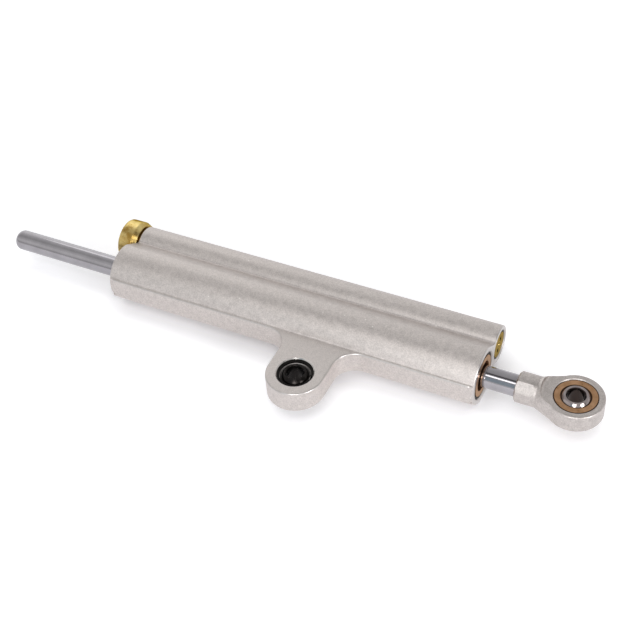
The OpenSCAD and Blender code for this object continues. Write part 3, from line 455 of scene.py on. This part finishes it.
# the section across the rod: main tube, flat, blend and side tube, mirrored below
def bodySection(b):
    top = (b["rodY"] + b["tubeR"] * math.cos(math.radians(b["valleyMain"])),
           b["tubeR"] * math.sin(math.radians(b["valleyMain"])))
    low = (b["sideY"] + b["sideR"] * math.cos(math.radians(b["valleySide"])),
           b["sideR"] * math.sin(math.radians(b["valleySide"])))
    run = (Vector(low) - Vector(top)).normalized()
    normal = Vector((-run.y, run.x))
    normal = normal if normal.y > 0 else -normal
    # the blend's centre is valleyR off the flat and sideR + valleyR from the side tube's axis
    reach = b["sideR"] + b["valleyR"]
    start = Vector(top) + normal * b["valleyR"] - Vector((b["sideY"], 0))
    half = start.dot(run)
    along = -half - math.sqrt(half * half - start.dot(start) + reach * reach)
    centre = Vector((b["sideY"], 0)) + start + run * along
    toFlat = math.degrees(math.atan2(-normal.y, -normal.x))
    toTube = math.degrees(math.atan2(-centre.y, b["sideY"] - centre.x))
    sideStart = math.degrees(math.atan2(centre.y, centre.x - b["sideY"]))
    upper = arc((b["rodY"], 0), b["tubeR"], 180, b["valleyMain"], 72)
    upper += arc(centre, b["valleyR"], toFlat, toTube, 10)
    upper += arc((b["sideY"], 0), b["sideR"], sideStart, 0, 56)
    lower = [(y, -z) for y, z in reversed(upper)]
    return list(reversed(cleaned(upper + lower)))  # counter-clockwise


# the lug with its fillets and the plate that it grows from, seen from above
def lugOutline(b):
    root, deep = b["rodY"] - b["tubeR"], b["rodY"] - b["plateDepth"]
    fillet, corner = b["lugFillet"], b["cornerR"]
    edge = b["lugR"] + fillet
    rear, front = b["rear"] + b["plateInset"], b["front"] - b["plateInset"]
    turns = [
        ((0, 0), b["lugR"], -90, 0, 40),
        ((edge, root - fillet), fillet, 180, 90, 30),
        ((front - corner, root + corner), corner, -90, 0, 8),
        ((front - corner, deep - corner), corner, 0, 90, 8),
        ((rear + corner, deep - corner), corner, 90, 180, 8),
        ((rear + corner, root + corner), corner, 180, 270, 8),
        ((-edge, root - fillet), fillet, 90, 0, 30),
        ((0, 0), b["lugR"], 180, 270, 40),
    ]
    return cleaned([point for turn in turns for point in arc(*turn)])


# the blend of radius rootR where the tube rises from the plate, above and below
def rootOutline(b, side):
    half = b["lugT"] / 2
    up = half + b["rootR"]
    back = math.sqrt((b["tubeR"] + b["rootR"]) ** 2 - up ** 2)
    onTube = math.degrees(math.atan2(-up, back))
    blend = arc((b["rodY"] - back, up), b["rootR"], onTube, -90, 8)
    inside = [(b["rodY"] - back, half - overlap), (b["rodY"] - b["tubeR"] + b["plateDepth"], half - overlap)]
    outline = [(y, side * z) for y, z in blend + inside]
    return outline if side > 0 else list(reversed(outline))  # counter-clockwise


# a cutter along X with grooves of (start, width, radius) and a bevel at each end that is a mouth
def bore(b, y, low, high, radius, grooves=(), mouths=(False, False)):
    bevel = b["mouth"]
    wide = radius + bevel
    profile = [(radius, low)]
    if mouths[0]:
        profile = [(wide + bevel, low - bevel), (wide, low), (radius, low + bevel)]
    for at, width, deep in grooves:
        profile += [(radius, at), (deep, at), (deep, at + width), (radius, at + width)]
    if mouths[1]:
        profile += [(radius, high - bevel), (wide, high), (wide + bevel, high + bevel)]
    else:
        profile.append((radius, high))
    return spun("bore", profile, lambda u, v, w: (w, y * mm + u, v))


def makeBody(b):
    rear, front, half = b["rear"], b["front"], b["lugT"] / 2
    shape = roundedPrism("castBody", bodySection(b), rear, front, b["endRim"], lambda u, v, w: (w, u, v))
    others = [roundedPrism("lugPlate", lugOutline(b), -half, half, b["lugRim"], lambda u, v, w: (u, v, w))]
    for side in (-1, 1):
        others.append(roundedPrism("rootBlend", rootOutline(b, side), rear + b["rootInset"],
                                   front - b["rootInset"], b["rootRim"], lambda u, v, w: (w, u, v), steps=1))
    combined(shape, others, "UNION")
    rearRing = (rear + b["ringAt"], b["ringT"], b["ringR"])
    frontRing = (front - b["ringAt"] - b["ringT"], b["ringT"], b["ringR"])
    plugRing = (front - b["plugRingAt"] - b["plugRingT"], b["plugRingT"], b["plugRingR"])
    combined(shape, [
        bore(b, b["rodY"], rear, front, b["boreR"], [rearRing, frontRing], (True, True)),
        bore(b, b["sideY"], front - b["plugPocket"], front, b["pocketR"], [plugRing], (False, True)),
        bore(b, b["sideY"], rear - overlap, rear + b["adjusterPocket"], b["pocketR"]),
        bore(b, b["sideY"], rear + b["adjusterPocket"] - overlap, front - b["plugPocket"] + overlap,
             b["galleryR"]),
    ], "DIFFERENCE")
    # the eye: a shoulder below, the race's seat, the ring's groove and a bevel
    seat, groove, bevel = b["seatR"], b["eyeRingR"], b["eyeBevel"]
    eye = [(b["throatR"], -half - overlap), (b["throatR"], -b["seatHalf"]), (seat, -b["seatHalf"]),
           (seat, b["seatHalf"]), (groove, b["seatHalf"]), (groove, b["eyeRingTop"]), (seat, b["eyeRingTop"]),
           (seat, half - bevel), (seat + bevel, half), (seat + bevel + overlap, half + overlap)]
    combined(shape, [spun("eye", eye, lambda u, v, w: (u, v, w))], "DIFFERENCE")
    return smoothed(shape, b["sharpFrom"])


castBody = makeBody(body)
castBody.data.materials.clear()
castBody.data.materials.append(finishes["cylinder_body"])
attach(castBody, "cylinder")
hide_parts("cylinder_body")
print("body made:", len(castBody.data.polygons), "faces")


# the stage: white paper that glows a little, as a wide white set would light it
stage = {
    "size": 6, "paper": "#eeeef1",
    "glow": 0.23, "glowSeen": 0.45,  # what metal mirrors, what the camera sees
    "shadeReach": 12 * mm, "shade": 1.6,
}
bpy.ops.mesh.primitive_plane_add(size=stage["size"], location=(0, 0, cadBox[0].z))
floor = bpy.context.object
floor.name = "paleFloor"
material, tree = newMaterial("whiteSweep")
path = addNode(tree, "ShaderNodeLightPath")
paper = addNode(tree, "ShaderNodeBsdfDiffuse", {"Color": linearColour(stage["paper"])})
# the object keeps some of the set's light off the paper, so the glow that is seen is shaded beside it
nearby = addNode(tree, "ShaderNodeAmbientOcclusion", {"Distance": stage["shadeReach"]})
shade = addNode(tree, "ShaderNodeMath", {"operation": "POWER", 1: stage["shade"]}, {0: nearby.outputs["AO"]})
toCamera = addNode(tree, "ShaderNodeMath", {"operation": "MULTIPLY"},
                   {0: shade.outputs[0], 1: path.outputs["Is Camera Ray"]})
toMetal = addNode(tree, "ShaderNodeMath", {"operation": "MAXIMUM"},
                  {0: path.outputs["Is Glossy Ray"], 1: path.outputs["Is Transmission Ray"]})
seen = addNode(tree, "ShaderNodeMath", {"operation": "MULTIPLY", 1: stage["glowSeen"]},
               {0: toCamera.outputs[0]})
strength = addNode(tree, "ShaderNodeMath", {"operation": "MULTIPLY_ADD", 1: stage["glow"]},
                   {0: toMetal.outputs[0], 2: seen.outputs[0]})
glow = addNode(tree, "ShaderNodeEmission", {"Color": (1, 1, 1, 1)}, {"Strength": strength.outputs[0]})
both = addNode(tree, "ShaderNodeAddShader", links={0: paper.outputs[0], 1: glow.outputs[0]})
floor.data.materials.append(finishMaterial(material, tree, both))
material.cycles.emission_sampling = "NONE"  # the glow is a backdrop, not a lamp

# the room's brightness by the angle round the rod: 0 is the horizon behind, 0.5 straight up, 1 the horizon
# in front; the left and right walls differ, and a grey-blue card hangs low in front for the rod to mirror
room = {
    "right": [(0.0, 0.85), (0.055, 0.78), (0.2, 0.66), (0.36, 0.56), (0.47, 0.5), (0.49, 0.14), (0.56, 0.14),
              (0.575, 0.5), (0.72, 0.5), (0.8, 0.66), (0.925, 0.75), (1.0, 0.9)],
    "left": [(0.0, 1.1), (0.12, 1.15), (0.22, 0.95), (0.32, 0.78), (0.4, 0.66), (0.485, 0.55), (0.55, 0.52),
             (0.63, 0.66), (0.7, 0.72), (0.77, 0.86), (0.86, 0.8), (0.92, 0.56), (0.95, 0.6), (1.0, 0.8)],
    "change": (-0.45, -0.27),
    "card": {"across": (-0.34, -0.04), "angle": (0.73, 0.93), "soft": 0.02, "tone": "#aebcc4"},
}
world = bpy.data.worlds.new("whiteRoom")
bpy.context.scene.world = world
world.use_nodes = True
tree = world.node_tree
tree.nodes.clear()
place = addNode(tree, "ShaderNodeTexCoord")
split = addNode(tree, "ShaderNodeSeparateXYZ", links={0: place.outputs["Generated"]})
angle = addNode(tree, "ShaderNodeMath", {"operation": "ARCTAN2"},
                {0: split.outputs["Z"], 1: split.outputs["Y"]})
turn = addNode(tree, "ShaderNodeMath", {"operation": "DIVIDE", 1: math.pi}, {0: angle.outputs[0]})
walls = {}
for side in ("left", "right"):
    stops = room[side]
    wall = addNode(tree, "ShaderNodeValToRGB", links={"Fac": turn.outputs[0]})
    ramp = wall.color_ramp
    ramp.elements[0].position, ramp.elements[1].position = stops[0][0], stops[-1][0]
    for position, _ in stops[1:-1]:
        ramp.elements.new(position)
    for element, (position, grey) in zip(ramp.elements, stops):
        element.position, element.color = position, (grey, grey, grey, 1)
    walls[side] = wall.outputs["Color"]
rightness = addNode(tree, "ShaderNodeMapRange",
                    {"From Min": room["change"][0], "From Max": room["change"][1]},
                    {"Value": split.outputs["X"]})
whole = addNode(tree, "ShaderNodeMixRGB", links={"Color1": walls["left"], "Color2": walls["right"],
                                                 "Fac": rightness.outputs["Result"]})
card = room["card"]
cardMask = None
for value, limits in ((split.outputs["X"], card["across"]), (turn.outputs[0], card["angle"])):
    for side, limit in zip(("above", "below"), limits):
        mask = maskWhere(tree, value, side, limit, card["soft"])
        cardMask = mask if cardMask is None else addNode(
            tree, "ShaderNodeMath", {"operation": "MINIMUM"}, {0: cardMask, 1: mask}).outputs[0]
carded = laidOver(tree, whole.outputs["Color"], card["tone"], cardMask)
backdrop = addNode(tree, "ShaderNodeBackground", {"Strength": 1.0}, {"Color": carded})
addNode(tree, "ShaderNodeOutputWorld", links={"Surface": backdrop.outputs[0]})

# four softboxes; toward is where each hangs as seen from its centre, and level is the light that reaches
# the object, where pi would be full daylight
bodyCentre, frontCentre = (0, 34 * mm, 0), (100 * mm, 34 * mm, 0)
softboxes = {
    "overheadSoftbox": {"toward": (0, -0.46, 0.89), "distance": 0.82, "size": (0.5, 0.18),
                        "level": 0.36, "centre": bodyCentre},
    "backLeftSoftbox": {"toward": (-0.5, 0.6, 0.63), "distance": 1.0, "size": (0.4, 0.4),
                        "level": 0.08, "centre": bodyCentre},
    "leftFrontSoftbox": {"toward": (0.13, -0.86, 0.49), "distance": 0.75, "size": (0.28, 0.28),
                         "level": 0.92, "centre": frontCentre},
    "rightFrontSoftbox": {"toward": (0.85, -0.38, 0.37), "distance": 0.75, "size": (0.28, 0.28),
                          "level": 1.33, "centre": frontCentre},
}
for name, box in softboxes.items():
    light = bpy.data.lights.new(name, "AREA")
    light.shape = "RECTANGLE" if box["size"][0] != box["size"][1] else "DISK"
    light.size = box["size"][0]
    if light.shape == "RECTANGLE":
        light.size_y = box["size"][1]
    light.energy = box["level"] * math.pi * box["distance"] ** 2
    holder = bpy.data.objects.new(name, light)
    bpy.context.scene.collection.objects.link(holder)
    holder.visible_camera = False
    direction = Vector(box["toward"]).normalized()
    holder.location = Vector(box["centre"]) + direction * box["distance"]
    holder.rotation_mode = "QUATERNION"
    holder.rotation_quaternion = direction.to_track_quat("Z", "Y")

# the camera, fitted to the photo; back points from the object to it
view = {"place": (186.64 * mm, -310.67 * mm, 389.60 * mm), "back": (0.3465, -0.6259, 0.6987),
        "up": (-0.2644, 0.6494, 0.7130), "lens": 67.86, "sensor": 36, "near": 0.01, "far": 20}
back, up = Vector(view["back"]), Vector(view["up"])
camera = bpy.data.objects.new("camera", bpy.data.cameras.new("camera"))
bpy.context.scene.collection.objects.link(camera)
camera.data.lens, camera.data.sensor_width = view["lens"], view["sensor"]
camera.data.clip_start, camera.data.clip_end = view["near"], view["far"]
turned = Matrix((up.cross(back), up, back)).transposed().to_4x4()
camera.matrix_world = Matrix.Translation(view["place"]) @ turned
bpy.context.scene.camera = camera
bpy.context.scene.view_settings.view_transform = "Standard"
print("stage set")
